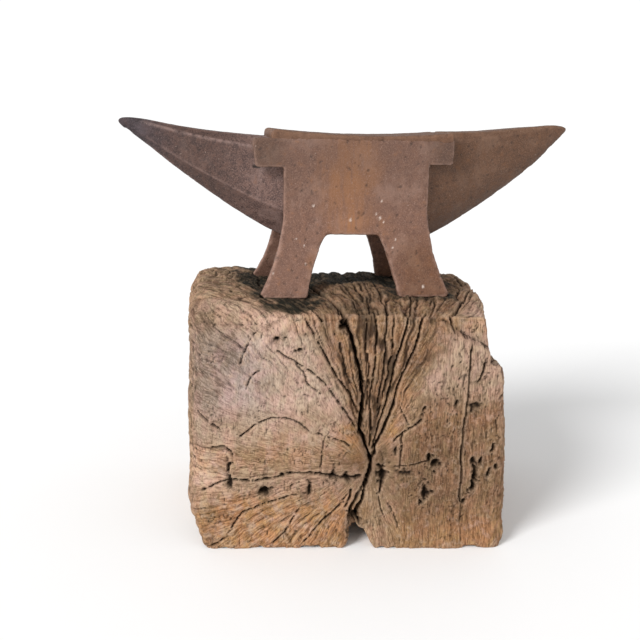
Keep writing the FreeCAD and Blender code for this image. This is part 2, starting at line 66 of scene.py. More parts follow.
# each crack: depth, darkness of the painted shade inside it, width at its first point and at its
# last, then its path (x, z) from the heart
CRACKS = (
    (16, 1, 4.6, 2.4, ((-37, 182), (-30, 160), (-27, 147), (-22, 129), (-16, 107), (-12, 88))),
    (22, 1, 2.6, 4.4, ((-13, 92), (-9, 66), (-10, 45), (-11, 34))),
    (16, 1, 3.6, 1.8, ((-11, 36), (-7, 29), (-4, 21), (-1, 10), (2, 1))),
    (14, 1, 2, 3.2, ((2, 0), (-5, -19), (-9, -27), (-13, -35), (-17, -45), (-19, -56))),
    (14, 1, 1.8, 3.4, ((2, 2), (1, -9), (-2, -18), (-5, -27), (-7, -36), (-11, -46), (-14, -57))),
    (26, 1, 2.4, 12, ((-11, -42), (-14, -56), (-15, -72))),
    (4, 0.8, 3, 1.6, ((-18, -28), (-20, -36), (-23, -44))),
    (6, 0.8, 1.7, 1.8, ((46, 148), (40, 125), (33, 105), (23, 75), (15, 45), (8, 24), (2, 1))),
    (6, 0.8, 1.8, 1.2, ((34, 160), (29, 136), (22, 113), (17, 82), (10, 50), (7, 36), (4, 16))),
    (5, 0.7, 1.4, 1.2, ((0, 168), (0, 150), (2, 130), (-1, 88), (-2, 60), (1, 36), (1, 18))),
    (4, 0.6, 1.2, 1, ((11, 160), (11, 128), (8, 84), (5, 56))),
    (4, 0.6, 1.1, 0.9, ((18, 150), (17, 120), (12, 82), (6, 50))),
    (4, 0.6, 1.1, 0.9, ((-9, 152), (-8, 126), (-5, 96), (-4, 62))),
    (4, 0.8, 1.8, 1.2, ((51, 61), (49, 52), (48, 47), (41, 42), (35, 37), (28, 31), (22, 24))),
    (3, 0.6, 2, 1, ((31, 34), (30, 27), (31, 18), (31, 6), (29, -4))),
    (2, 0.45, 1, 1.4, ((24, -3), (31, -1), (44, 1), (58, 5))),
    (2, 0.5, 1.4, 0.8, ((10, -34), (12, -44), (15, -56))),
    (2, 0.45, 1.2, 0.8, ((20, -40), (26, -56), (30, -68))),
    (7, 0.9, 1.2, 1.5, ((93, 123), (92, 85), (92, 65), (90, 16), (90, -18), (91, -39))),
    (6, 0.8, 2.4, 1, ((107, 106), (105, 97), (103, 86))),
    (6, 0.8, 2, 1.4, ((72, 160), (74, 148), (76, 134))),
    (4, 0.8, 1.2, 1.6, ((-66, 146), (-54, 127), (-46, 110), (-33, 90), (-23, 74), (-13, 55))),
    (2.5, 0.35, 4, 3, ((-33, 124), (-30, 112), (-27, 99), (-22, 84))),
    (2, 0.6, 1.2, 1, ((-76, 108), (-67, 96), (-62, 84), (-52, 73))),
    (3, 0.7, 1, 2, ((-92, 116), (-66, 102), (-50, 87), (-37, 71), (-22, 50), (-12, 34))),
    (2.5, 0.6, 1, 1.2, ((-126, 30), (-114, 41), (-100, 48), (-84, 49), (-70, 44), (-58, 35),
                          (-34, 26), (-20, 18))),
    (5, 0.9, 3, 2, ((-9, -12), (-21, -14), (-33, -13), (-45, -10), (-60, -9))),
    (4, 0.8, 1.5, 1, ((-58, -9), (-73, -9), (-90, -12), (-114, -17), (-138, -16), (-162, -28))),
    (4, 0.85, 2, 2.6, ((-153, 18), (-140, 18), (-134, 5), (-139, -3), (-137, -24))),
    (4, 0.9, 2.6, 1.2, ((-166, 52), (-155, 44), (-147, 38))),
    (2.5, 0.5, 1.4, 1.6, ((-162, -86), (-144, -77), (-126, -52), (-110, -44), (-88, -35),
                          (-62, -28))),
    (2, 0.5, 1.4, 1.2, ((-94, -81), (-82, -67), (-69, -47))),
    (2, 0.5, 1.4, 1.2, ((-67, -83), (-50, -64), (-35, -49), (-22, -32))),
    (2, 0.6, 0.9, 0.9, ((-46, 24), (-48, 4), (-49, -10))),
    (6, 0.9, 2.6, 1.4, ((9, -2), (13, -8), (14, -13), (12, -19), (11, -28))),
    (5, 0.8, 2.2, 1.4, ((-74, 176), (-60, 158), (-50, 146))),
    (5, 0.8, 2.2, 1.4, ((60, 176), (52, 160), (46, 148))),
    (2, 0.45, 1.2, 1, ((-110, 96), (-118, 88), (-121, 76))),
    (2, 0.5, 1, 1, ((-128, 104), (-122, 118), (-108, 134))),
    (2, 0.5, 1, 1, ((25, 62), (33, 50), (36, 44))),
)
# each hole: depth, half width, half height, then x and z from the heart
HOLES = (
    (9, 5.5, 5, -104, -28), (7, 3, 7.5, -59, -25), (9, 5.5, 6, 64, 2), (7, 2.4, 5, 58, 6),
    (7, 3, 7, 55, -29), (9, 2.8, 7.5, 104, -10), (8, 2.6, 6, 103, -24), (6, 2.4, 4.5, 109, 5),
    (6, 1.8, 3.4, 102, 6), (6, 1.8, 5, 121, 18), (6, 2.4, 4, 118, -7), (6, 1.6, 3, 125, -1),
    (3, 4.5, 4.5, 101, 62), (5, 1.4, 5, 82, 65), (5, 1.8, 3, 95, -40), (8, 2.8, 8.5, 13, -12),
    (4, 1.6, 4, 25, 15), (5, 2.6, 2.2, -70, 118), (14, 4.6, 6, -28, 143),
    (8, 4.2, 3.8, -37, -12), (8, 3.2, 3.4, -22, -14), (3, 9, 3.4, 36, -9),
    (5, 2.6, 2, -92, 128), (5, 2.2, 5, -138, -18), (5, 1.8, 1.8, -86, -11),
    (6, 2.6, 2.6, -13, -13), (16, 4.4, 8, -14, -60),
)
# soft patches of stained, orange and dull wood on the front, the last stained one painted shade
# along the step at the upper left: strength, then x, z, width and height from the heart
STAINED_AND_SHADED = (
    (0.48, 2, -2, 24, 26), (0.56, 60, -14, 50, 44), (0.5, 4, 82, 17, 44),
    (0.5, -136, 112, 13, 20),
)
WARMED = (
    (0.35, -80, 18, 60, 28), (1.3, -20, 30, 13, 15), (0.7, -10, 8, 9, 12), (1.3, 20, 37, 7, 14),
)
DULLED = ((0.9, 0, 0, 26, 26),)
FAN_EDGE = (0.62, 0.3)  # half angles of the fan above the heart, outer and inner
HEART_DIP = (7, 34)  # depth and reach of the hollow round the heart
FLAT_MIDDLE, FLAT_RADIUS = (-58, 76), 75  # the raised flat of the front ends on this arc
CHIP = (-136, 19, -20)  # the layer missing at the left: its right end, top and foot
CHIP_DEPTH = 3.2
LEDGE = (146, 0.62, 7)  # the step at the front's upper right: height, fall and depth
SPLIT_RISE = 2  # how far the wood left of the lower split stands out
LEFT_LEVELS = (0, 45, 252)  # three heights, and how far left the block reaches at each
LEFT_REACH = (155, 169.5, 163)
LEFT_ROUND = 26  # radius worn on the front's left edge
LEFT_RISE = 3.5  # how much higher the top lies at its left end
FRONT_TOP = 235  # height of the front's top edge
TOP_SLOPE = 0.168  # rise of the top from the front edge towards the feet
FLAT_TOP = 244  # height of the top beside the feet
TOP_ROUND = 7  # radius worn on the front's top edge,
TOP_LEFT_ROUND = 44  # and how much more at its left end
STAIN_REACH = 14  # how far a crack's dark stain can spread
FOOT_FLARE = 6  # how far the front leans out at its foot
SWELL = 1.6  # puts back what the wearing takes off


def smooth(start, end, value):
    """0 at start, 1 at end, with an even curve between; start may be the larger."""
    share = np.clip((value - start) / (end - start), 0, 1)
    return share * share * (3 - 2 * share)


# ------------------------ seeded noise
# turns the lattice, so that its rows don't line up with the block's faces
ASKEW = np.array(Matrix.Rotation(0.7, 3, "X") @ Matrix.Rotation(0.6, 3, "Y")
                 @ Matrix.Rotation(0.5, 3, "Z"))
HASH_AXES = (374761393, 668265263, 1442695041)  # large odd numbers that mix a cell's number
HASH_SEED = 1274126177


def lattice(cell, seed):
    """A fixed random number from -1 to 1 for each whole-number cell."""
    mixed = cell @ np.array(HASH_AXES) + seed * HASH_SEED
    mixed = (mixed ^ ((mixed & 0xFFFFFFFF) >> 13)) * HASH_SEED
    mixed = mixed ^ ((mixed & 0xFFFFFFFF) >> 16)
    return (mixed & 0xFFFFFF) / 0x7FFFFF - 1


def noise(points, size, seed=0):
    """A smooth random field from -1 to 1; size is how far apart its bumps are, on all axes or
    one for each."""
    size = np.asarray(size, float)
    place = (points if size.ndim else points @ ASKEW) / size
    cell = np.floor(place).astype(np.int64)
    share = place - cell
    share = share * share * (3 - 2 * share)
    total = np.zeros(len(points))
    for corner in itertools.product((0, 1), repeat=3):
        weight = np.prod(np.where(corner, share, 1 - share), axis=1)
        total += weight * lattice(cell + np.array(corner), seed)
    return total


def layered(points, size, seed=0, layers=3):
    """Noise with finer, weaker noise added to it."""
    size = np.asarray(size, float)
    return sum(noise(points, size / 2 ** k, seed + 17 * k) / 2 ** k for k in range(layers))


def blob(x, z, middle_x, middle_z, wide, high):
    """A soft round patch: 1 at its middle, falling away over these distances."""
    return np.exp(-((x - middle_x) / wide) ** 2 - ((z - middle_z) / high) ** 2)


def most(*shares):
    """The largest of the shares at each point."""
    return np.maximum.reduce(shares)


def lines(field, width):
    """1 where the field crosses zero, falling to 0 at this value either side."""
    return 1 - smooth(0, width, np.abs(field))


# ------------------------ meshes as arrays
def read(items, key, width=3, kind=np.float32):
    """One row of values for each item of a mesh."""
    values = np.empty(len(items) * width, kind)
    items.foreach_get(key, values)
    return values.reshape(-1, width)


def read_points(mesh):
    return read(mesh.vertices, "co").astype(float) / MM


def write_points(mesh, points):
    mesh.vertices.foreach_set("co", (points * MM).astype(np.float32).ravel())
    mesh.update()


def read_normals(mesh):
    return read(mesh.vertex_normals, "vector").astype(float)


def read_edges(mesh):
    return read(mesh.edges, "vertices", 2, np.int32)


def relax(values, edges, rounds, share=1):
    """Each vertex's value moved towards the mean of its neighbours, this many times."""
    a, b = edges.T
    flat = values.reshape(len(values), -1).astype(float)
    count = np.bincount(a, minlength=len(flat)) + np.bincount(b, minlength=len(flat))
    for _ in range(rounds):
        for column in range(flat.shape[1]):
            old = flat[:, column]
            total = np.bincount(a, old[b], len(flat)) + np.bincount(b, old[a], len(flat))
            flat[:, column] = old + share * (total / np.maximum(count, 1) - old)
    return flat.reshape(values.shape)


def write_masks(mesh, name, *masks):
    """Three values for each vertex, which a material reads by this name."""
    attribute = mesh.attributes.new(name, "FLOAT_VECTOR", "POINT")
    attribute.data.foreach_set("vector", np.stack(masks, axis=1).astype(np.float32).ravel())


def remeshed(name, source, voxel, rounds):
    """An even skin round a solid, its edges worn by rounds of smoothing."""
    piece = bpy.data.objects.new(name, source.copy())
    bpy.context.scene.collection.objects.link(piece)
    skin = piece.modifiers.new("skin", "REMESH")
    skin.mode = "VOXEL"
    skin.voxel_size = voxel * MM
    depsgraph = bpy.context.evaluated_depsgraph_get()
    mesh = bpy.data.meshes.new_from_object(piece.evaluated_get(depsgraph))
    piece.modifiers.clear()
    piece.data = mesh
    write_points(mesh, relax(read_points(mesh), read_edges(mesh), rounds, 0.5))
    return piece


def without_holes(source, axes, radius):
    """A copy of a mesh with the round holes along Y closed over at its faces."""
    build = bmesh.new()
    build.from_mesh(source)
    bmesh.ops.remove_doubles(build, verts=build.verts, dist=0.01 * MM)
    walls = []
    for face in build.faces:
        for x, z in axes:
            if all(math.hypot(v.co.x / MM - x, v.co.z / MM - z) < radius for v in face.verts):
                walls.append(face)
                break
    bmesh.ops.delete(build, geom=walls, context="FACES")
    bmesh.ops.holes_fill(build, edges=[e for e in build.edges if e.is_boundary], sides=0)
    mesh = bpy.data.meshes.new("closed")
    build.to_mesh(mesh)
    build.free()
    return mesh


def shade_smooth(mesh):
    mesh.polygons.foreach_set("use_smooth", [True] * len(mesh.polygons))
    mesh.update()


def cylinder(radius, start, end):
    """A closed round bar between two points, as a mesh in metres."""
    axis = (Vector(end) - Vector(start)) * MM
    turn = axis.to_track_quat("Z", "Y").to_matrix().to_4x4()
    place = Matrix.Translation((Vector(start) + Vector(end)) * 0.5 * MM) @ turn
    build = bmesh.new()
    bmesh.ops.create_cone(build, cap_ends=True, segments=32, radius1=radius * MM,
                          radius2=radius * MM, depth=axis.length, matrix=place)
    mesh = bpy.data.meshes.new("bar")
    build.to_mesh(mesh)
    build.free()
    return mesh


# ------------------------ node materials
class Shader:
    """A node material written as expressions: a value is a socket or a plain number."""

    def __init__(self, name):
        self.material = bpy.data.materials.new(name)
        self.material.use_nodes = True
        self.tree = self.material.node_tree
        self.tree.nodes.clear()
        self.colour = None

    def node(self, kind, values=(), **settings):
        made = self.tree.nodes.new(kind)
        for key, value in settings.items():
            setattr(made, key, value)
        for key, value in dict(values).items():
            socket = made.inputs[key]
            if isinstance(value, bpy.types.NodeSocket):
                self.tree.links.new(value, socket)
            elif socket.type == "RGBA":
                socket.default_value = (*value, 1)
            else:
                socket.default_value = value
        return made

    def attribute(self, name, part="Fac"):
        return self.node("ShaderNodeAttribute", attribute_name=name).outputs[part]

    def parts(self, vector):
        return self.node("ShaderNodeSeparateXYZ", {"Vector": vector}).outputs

    def scaled(self, vector, size):
        """The vector divided by a size in millimetres for each axis."""
        scale = tuple(1 / (MM * s) for s in size)
        node = self.node("ShaderNodeVectorMath", {0: vector, 1: scale}, operation="MULTIPLY")
        return node.outputs[0]

    def noise(self, vector, detail=3, rough=0.6, twist=0):
        values = {"Vector": vector, "Scale": 1, "Detail": detail, "Roughness": rough,
                  "Distortion": twist}
        return self.node("ShaderNodeTexNoise", values).outputs["Fac"]

    def even(self, place, size, *shape):
        """Noise of one size on all axes."""
        return self.noise(self.scaled(place, (size, size, size)), *shape)

    def cells(self, vector):
        """Distance to the nearest point of a random scatter."""
        node = self.node("ShaderNodeTexVoronoi", {"Vector": vector, "Scale": 1})
        return node.outputs["Distance"]

    def math(self, operation, *values):
        node = self.node("ShaderNodeMath", dict(enumerate(values)), operation=operation)
        return node.outputs[0]

    def times(self, first, second):
        return self.math("MULTIPLY", first, second)

    def plus(self, first, second):
        return self.math("ADD", first, second)

    def ramp(self, value, start, end, low=0, high=1):
        """value carried smoothly from start..end to low..high."""
        values = {"Value": value, "From Min": start, "From Max": end, "To Min": low, "To Max": high}
        node = self.node("ShaderNodeMapRange", values, interpolation_type="SMOOTHSTEP")
        return node.outputs["Result"]

    def mix(self, share, first, second):
        values = {0: share, 2: first, 3: second}
        return self.node("ShaderNodeMix", values, data_type="FLOAT").outputs[0]

    def blend(self, share, first, second, blend="MIX"):
        values = {0: share, 6: first, 7: second}
        return self.node("ShaderNodeMix", values, data_type="RGBA", blend_type=blend).outputs[2]

    def lay(self, share, over, blend="MIX"):
        """Lays one more colour over the surface's colour so far."""
        self.colour = self.blend(share, self.colour, over, blend)

    def finish(self, rough, height, depth, shine):
        """Principled surface; depth is how far, in millimetres, a height of 1 stands out."""
        bump = self.node("ShaderNodeBump",
                         {"Height": height, "Distance": depth * MM, "Strength": 1})
        values = {"Base Color": self.colour, "Roughness": rough, "Normal": bump.outputs[0],
                  "Metallic": 0, "Specular IOR Level": shine}
        surface = self.node("ShaderNodeBsdfPrincipled", values)
        output = self.node("ShaderNodeOutputMaterial")
        self.tree.links.new(surface.outputs[0], output.inputs["Surface"])
        return self.material


# ------------------------ the wood block
def front_y(x):
    """Depth of the front face at x."""
    x0, y0, x1, y1 = FRONT_LINE
    return y0 + (x - x0) * (y1 - y0) / (x1 - x0)


def bent(path, steps=4):
    """A path through the same points with its corners drawn out into bends (Catmull-Rom)."""
    knots = np.array(path, float)
    knots = np.vstack((2 * knots[0] - knots[1], knots, 2 * knots[-1] - knots[-2]))
    places = []
    for p0, p1, p2, p3 in zip(knots, knots[1:], knots[2:], knots[3:]):
        for t in np.arange(steps) / steps:
            places.append(0.5 * (2 * p1 + (p2 - p0) * t + (2 * p0 - 5 * p1 + 4 * p2 - p3) * t ** 2
                                 + (3 * p1 - p0 - 3 * p2 + p3) * t ** 3))
    places.append(knots[-2])
    return np.array(places)


def near_path(x, z, path):
    """Distance to a path of straight pieces, and how far along it the nearest spot is, 0 to 1."""
    lengths = np.hypot(*np.diff(path, axis=0).T)
    reached = np.concatenate(([0], np.cumsum(lengths))) / lengths.sum()
    gap = np.full(len(x), np.inf)
    spot = np.zeros(len(x))
    for (ax, az), (bx, bz), start, end in zip(path, path[1:], reached, reached[1:]):
        dx, dz = bx - ax, bz - az
        share = np.clip(((x - ax) * dx + (z - az) * dz) / (dx * dx + dz * dz), 0, 1)
        far = np.hypot(x - ax - share * dx, z - az - share * dz)
        nearer = far < gap
        gap = np.where(nearer, far, gap)
        spot = np.where(nearer, start + share * (end - start), spot)
    return gap, spot


def carve(x, z, shrink, rough):
    """Depth, painted shade and surrounding stain of the cracks and holes at points of the fan."""
    depth, dark, stain = np.zeros(len(x)), np.zeros(len(x)), np.zeros(len(x))
    for deep, black, first, last, path in CRACKS:
        line = bent(path)
        low, high = line.min(axis=0) - STAIN_REACH, line.max(axis=0) + STAIN_REACH
        near = np.flatnonzero((x > low[0]) & (x < high[0]) & (z > low[1]) & (z < high[1]))
        gap, spot = near_path(x[near], z[near], line)
        gap /= shrink[near]
        half = 0.5 * (first + (last - first) * spot) * (1 + 0.55 * rough[near])
        broken = 1 if deep > 5 or first > 3.5 else smooth(-0.8, 0.1, rough[near])
        cut = (1 - smooth(0.3, 1, gap / (half + 0.5))) * broken
        depth[near] = np.maximum(depth[near], deep * cut)
        # a crack's darkness is painted shade inside it
        dark[near] = np.maximum(dark[near], black * cut)
        spread = 0.5 * black * min(1, deep / 6) * smooth(1.5 + deep * 0.4, 0, gap - half)
        stain[near] = np.maximum(stain[near], spread)
    for deep, wide, high, hx, hz in HOLES:
        gap = np.hypot((x - hx) / wide, (z - hz) / high) * (1 + 0.6 * rough)
        cut = 1 - smooth(0.25, 1.25, gap)
        depth = np.maximum(depth, deep * cut)
        # a deeper hole gets darker painted shade
        dark = np.maximum(dark, cut * min(1, 0.35 + deep / 14))
        stain = np.maximum(stain, 0.85 * smooth(2.9, 0.6, gap))
    return depth, dark, stain


def refine_front(mesh):
    """Halves the faces of the front and of the top, which are seen closest."""
    build = bmesh.new()
    build.from_mesh(mesh)
    build.normal_update()
    chosen = []
    for edge in build.edges:
        middle = (edge.verts[0].co + edge.verts[1].co) / (2 * MM)
        outward = edge.verts[0].normal
        if outward.y < -0.35 or (outward.z > 0.35 and middle.z > 150 and middle.y < 80):
            chosen.append(edge)
    bmesh.ops.subdivide_edges(build, edges=chosen, cuts=1, use_grid_fill=True)
    build.to_mesh(mesh)
    build.free()


def rounded(a, b, radius):
    """a and b are the distances from two faces; returns them with the corner between worn round."""
    reach = np.hypot(radius - a, radius - b)
    worn = (a < radius) & (b < radius) & (reach > radius)
    pull = np.where(worn, radius / np.maximum(reach, 1e-6), 1)
    return radius - (radius - a) * pull, radius - (radius - b) * pull


def fan_share(turn):
    """1 inside the fan of rays above the heart; turn is the angle from straight up."""
    outer, inner = FAN_EDGE
    return smooth(-outer, -inner, turn) * smooth(outer, inner + 0.02, turn)


def chip_share(fan_x, fan_z, soft):
    """1 where a layer is missing at the front's left edge."""
    end, top, foot = CHIP
    share = smooth(0, soft, end - fan_x) * smooth(0, soft, top - fan_z)
    return share * smooth(foot - 14, foot, fan_z)


def flat_rim(fan_x, fan_z):
    """Distance outside the arc where the raised flat of the front ends."""
    return np.hypot(fan_x - FLAT_MIDDLE[0], fan_z - FLAT_MIDDLE[1]) - FLAT_RADIUS


def front_steps(points, fan_x, fan_z):
    """How far each spot of the front lies back from its plane."""
    wave = noise(points, 16, 2) * 2.6 + noise(points, 6, 3) * 1.1
    radius = np.hypot(fan_x, fan_z)
    outside = flat_rim(fan_x, fan_z) + wave
    corner = smooth(-48, -88, fan_x) * smooth(46, 84, fan_z)
    back = (2.4 * smooth(-4, 7, outside) + 7.5 * smooth(0, 50, outside)) * corner
    back += HEART_DIP[0] * np.exp(-(radius / HEART_DIP[1]) ** 2)
    fan = fan_share(np.arctan2(fan_x, fan_z))
    back += 3 * fan * smooth(150, 40, radius) * (fan_z > 0)
    height, fall, depth = LEDGE
    ledge = fan_z - height + fall * np.maximum(fan_x - 60, 0) + wave
    back += depth * smooth(-2, 5, ledge) * smooth(52, 70, fan_x)
    # the right edge falls away, beyond a long upright split
    back += 4 * smooth(120, 138, fan_x) ** 2
    back += 1.6 * smooth(90.5, 93, fan_x) * smooth(120, 60, fan_z)
    back += CHIP_DEPTH * chip_share(fan_x, fan_z, 2.5)
    split_side = smooth(1, -3, fan_x + 0.26 * np.maximum(-fan_z, 0))
    split_side *= smooth(0, -12, fan_z)
    back -= SPLIT_RISE * split_side * smooth(60, 20, radius)
    return back


def worn_form(points):
    """The block with the edges of its front worn round and the front's steps cut in."""
    x, y, z = points.T.copy()
    # both sides lean in towards the top, and the right one at its foot
    lean = 2.4 * smooth(60, 190, z) + 2.1 * smooth(190, 238, z)
    x = x - lean * smooth(-110, -150, x)
    x = x - 5 * smooth(14, 0, z) * smooth(120, 145, x)
    x = x - 6 * smooth(190, 240, z) * smooth(90, 130, x)
    # the top rises at its left end and falls towards the back
    raised = LEFT_RISE * smooth(-80, -120, x)
    z = z + raised * smooth(200, 235, z)
    z = z - 4.5 * smooth(80, 112, y) * smooth(225, 238, z) * smooth(-70, -40, x)
    # small steps just below the front's top edge are flattened
    step = y - front_y(x)
    y = y - step * smooth(5, 0.5, step) * smooth(194, 206, z)

    edge_x = -lean - np.interp(z, LEFT_LEVELS, LEFT_REACH)
    radius = LEFT_ROUND * (0.25 + 0.75 * smooth(5, 70, z))
    a, b = rounded(x - edge_x, y - front_y(x), radius)
    x, y = edge_x + a, front_y(x) + b
    fan_x, fan_z = x - HEART[0], z - HEART[1]
    behind = np.maximum(y - front_y(x), 0)
    crown = np.minimum(FRONT_TOP + TOP_SLOPE * behind, FLAT_TOP) + raised
    drop = np.maximum(crown - z, 0)
    radius = TOP_ROUND + TOP_LEFT_ROUND * smooth(-78, -128, fan_x)
    a, b = rounded(drop, y - front_y(x), radius)
    z, y = z + drop - a, front_y(x) + b

    back = front_steps(points, fan_x, fan_z) - FOOT_FLARE * smooth(34, 0, z)
    y = y + back * smooth(58, 4, y - front_y(x))
    return np.stack([x, y, z], axis=1)


def wood_places(points, normals):
    """Where each kind of surface lies on the block, as shares from 0 to 1, and the coordinates
    of the fan: its rays open from the heart over the front and go on opening over the top."""
    x, y, z = points.T
    w = SimpleNamespace(x=x, y=y, z=z)
    w.front = smooth(0.3, 0.75, -normals[:, 1])
    w.back = smooth(0.35, 0.8, normals[:, 1])
    w.top = smooth(0.3, 0.8, normals[:, 2]) * (1 - w.front)
    w.side = np.clip(1 - w.front - w.back - w.top, 0, 1)

    drift = [noise(points, 13, s) * 1.3 + noise(points, 5, s + 9) * 0.6 for s in (1, 2)]
    w.depth = np.maximum(y - front_y(x), 0)
    w.shrink = FAN_REACH / (FAN_REACH + w.top * np.minimum(w.depth, TOP_FAN))
    w.fan_x = (x - HEART[0]) * w.shrink + drift[0] * w.shrink
    w.fan_z = z - HEART[1] + drift[1] * (1 - w.top)
    w.radius = np.hypot(w.fan_x, w.fan_z)
    turn = np.arctan2(w.fan_x, w.fan_z)
    sway = noise(points, 30, 11) * 3.2 + noise(points, 11, 12) * 1.6
    w.across = turn * FAN_REACH + sway * smooth(10, 60, w.radius) * (1 - 0.5 * w.top)
    near_end = np.maximum(w.front, w.top) * (1 - w.back)
    w.near_end = np.maximum(near_end, smooth(12, 5, w.depth) * smooth(60, 40, z))
    w.rays = np.stack([w.across, w.radius, w.depth * w.top * 0.6], axis=1)
    w.reach = smooth(6, 75, w.radius)

    w.above = w.fan_z > 0
    w.fan = fan_share(turn)
    w.fan_core = w.fan * smooth(-0.5, -0.2, turn)
    w.straight = smooth(14, 40, w.fan_x - 0.25 * np.maximum(w.fan_z, 0)) * w.front
    w.lower_left = smooth(10, -25, w.fan_z) * smooth(8, -12, w.fan_x) * w.front
    middle_left = smooth(-12, -34, w.fan_x) * smooth(8, 30, w.fan_z) * w.front
    middle_left *= 1 - w.fan_core * 0.7
    w.corner = smooth(-48, -88, w.fan_x) * smooth(50, 84, w.fan_z)
    w.flat = middle_left * smooth(18, -12, flat_rim(w.fan_x, w.fan_z) * w.corner)
    w.beyond = middle_left - w.flat
    w.clear_of_left = smooth(-96, -70, w.fan_x)
    w.chip = chip_share(w.fan_x, w.fan_z, 3)
    return w


def wood_relief(points, w):
    """How far the fibres, furrows and lumps lie below the surface. Adds to w the marks that
    the colours follow too."""
    # along the rays, which fan out from the heart
    inward = layered(points, 46, 5) * 1.5 + noise(points, 17, 8) * 0.6 - SWELL
    w.flutes = lines(noise(w.rays, (6.5, 50, 50), 21), 0.4)
    w.flutes += lines(noise(w.rays, (3.4, 24, 30), 22), 0.42) * 0.6
    furrows = lines(noise(w.rays, (9, 70, 60), 24), 0.2)
    fanned = w.fan * w.above
    rayed = w.front * (1 - w.straight) * w.reach
    share = 0.3 + 1.2 * fanned + 0.4 * w.lower_left + 0.6 * w.corner - 0.22 * w.flat
    inward += rayed * w.flutes * share
    inward += rayed * furrows * (0.8 * fanned + 0.5 * w.lower_left + 0.8 * w.corner)

    # upright, on the right of the front
    upright = np.stack([w.fan_x, w.fan_z, w.y], axis=1)
    shaken = upright + np.stack([noise(points, 9, 28) * 2.6, noise(points, 4.5, 29) * 7,
                                 noise(points, 9, 30) * 3], axis=1)
    dashes = smooth(0.34, 0.72, noise(shaken, (2, 8, 9), 31))
    fibres = noise(shaken, (3, 38, 20), 32) * 0.5
    fibres += noise(shaken, (1.9, 14, 12), 33) * 0.4
    w.crackle = lines(noise(shaken, (4, 9, 6), 34), 0.13)
    w.crackle *= smooth(-0.2, 0.4, noise(points, 14, 35))
    pitted = 0.2 + 0.65 * smooth(40, 95, w.fan_x) * smooth(-20, 40, w.fan_z)
    w.dents = w.straight * dashes * pitted
    inward += w.straight * (dashes * 1.4 * pitted + fibres * 0.6)
    inward += w.front * (1 - 0.6 * fanned) * w.crackle * 0.9
    inward += w.flat * noise(points, 3.6, 36) * 0.4

    # the top: rays, gashes at its left and lumps, with crumbled edges
    deep_top = w.top * (1 - 0.5 * smooth(70, 120, np.abs(w.fan_x)))
    deep_top *= 0.45 + 0.55 * smooth(-52, -30, w.fan_x)
    inward += deep_top * (w.flutes * 1.8 + furrows * 2.6) * smooth(-4, 10, w.depth)
    w.gashes = lines(noise(w.rays, (8, 200, 16), 26), 0.16)
    w.gashes *= smooth(0, 0.4, noise(points, 17, 27))
    w.gashes *= w.top * smooth(-58, -80, w.fan_x)
    inward += w.gashes * 3
    lumps = noise(points, 9, 37) * 1.3 + noise(points, 4, 38) * 0.9
    lumps += noise(points, 2.4, 46) * 0.5
    inward += w.top * lumps * (1 - 0.5 * deep_top)
    w.rim = (w.top + 0.6 * w.side) * smooth(60, 100, w.fan_x) * smooth(60, 120, w.fan_z)
    inward += w.rim * (0.8 + noise(points, 12, 39) * 1.5)
    brink = w.top * smooth(20, 2, w.depth) * w.clear_of_left
    inward += brink * (1.2 + noise(points, 10, 47) * 2)
    brow = w.front * smooth(124, 142, w.fan_z) * w.clear_of_left
    inward += brow * (0.4 + noise(points, 12, 48) * 1.3 + noise(points, 5, 49) * 0.7)

    # the back, the sides with their lengthwise grain, and fine grain on both ends
    lengthwise = np.stack([w.x + w.z * w.side, w.y, w.z], axis=1)
    stripes = lines(noise(lengthwise, (7, 120, 7), 41), 0.3)
    fine_stripes = noise(lengthwise, (2.8, 60, 2.8), 42)
    checks = lines(noise(lengthwise, (26, 230, 26), 43), 0.07)
    checks *= smooth(-0.1, 0.25, noise(points, 60, 44))
    inward += w.back * ((w.flutes * (0.5 + 1.2 * w.fan) + furrows) * w.reach + dashes * 0.8)
    inward += w.side * (stripes * 1.5 + fine_stripes * 0.5 + checks * 6)
    grain = noise(points, 2.6, 40) * 0.3 + noise(points, 5, 45) * 0.3
    return inward + (w.front + w.back) * grain


def wood_cracks(points, w, inward):
    """Cuts the cracks and holes into both ends; returns their painted shade and their stain."""
    rough = noise(points, 3.4, 51) + 0.6 * noise(points, 1.9, 52)
    cut, dark, stain = np.zeros((3, len(points)))
    near = w.near_end > 0.02
    found = carve(w.fan_x[near], w.fan_z[near], w.shrink[near], rough[near])
    cut[near], dark[near], stain[near] = found
    inward += cut * (1 - 0.55 * w.top) * w.near_end
    dark *= w.near_end
    stain *= w.front

    # the same splits come out at the far end, shifted a little
    far = w.back > 0.02
    twist = noise(points, 40, 61) * 7
    found = carve((w.fan_x + twist)[far], (w.fan_z + twist)[far], w.shrink[far], rough[far])
    inward[far] += found[0] * w.back[far] * 0.6
    # painted shade in the far end's cracks
    dark[far] = np.maximum(dark[far], found[1] * w.back[far] * 0.8)
    stain[far] = np.maximum(stain[far], found[2] * w.back[far])
    return dark, stain


def wood_hollows(mesh, points, w, dark):
    """Shares of painted shade in hollows, cracks and dents, and of crests paler from wear and
    painted highlight.
    """
    normals, edges = read_normals(mesh), read_edges(mesh)
    valley = np.einsum("ij,ij->i", normals, relax(points, edges, 4) - points)
    wide_valley = np.einsum("ij,ij->i", normals, relax(points, edges, 30) - points)
    # painted shade where the surface is hollow
    cavity = smooth(0.04, 0.75, valley) * 0.85 + smooth(0.2, 2.4, wide_valley) * 0.35
    core = w.fan_core * w.front * smooth(15, 40, w.fan_z) * smooth(0.4, 1, w.flutes)
    cavity = most(np.clip(cavity, 0, 1), dark, w.crackle * w.front * 0.45, w.dents * 0.7,
                  core * 0.8, w.gashes * 0.9)
    return cavity, smooth(0.05, 0.6, -valley)


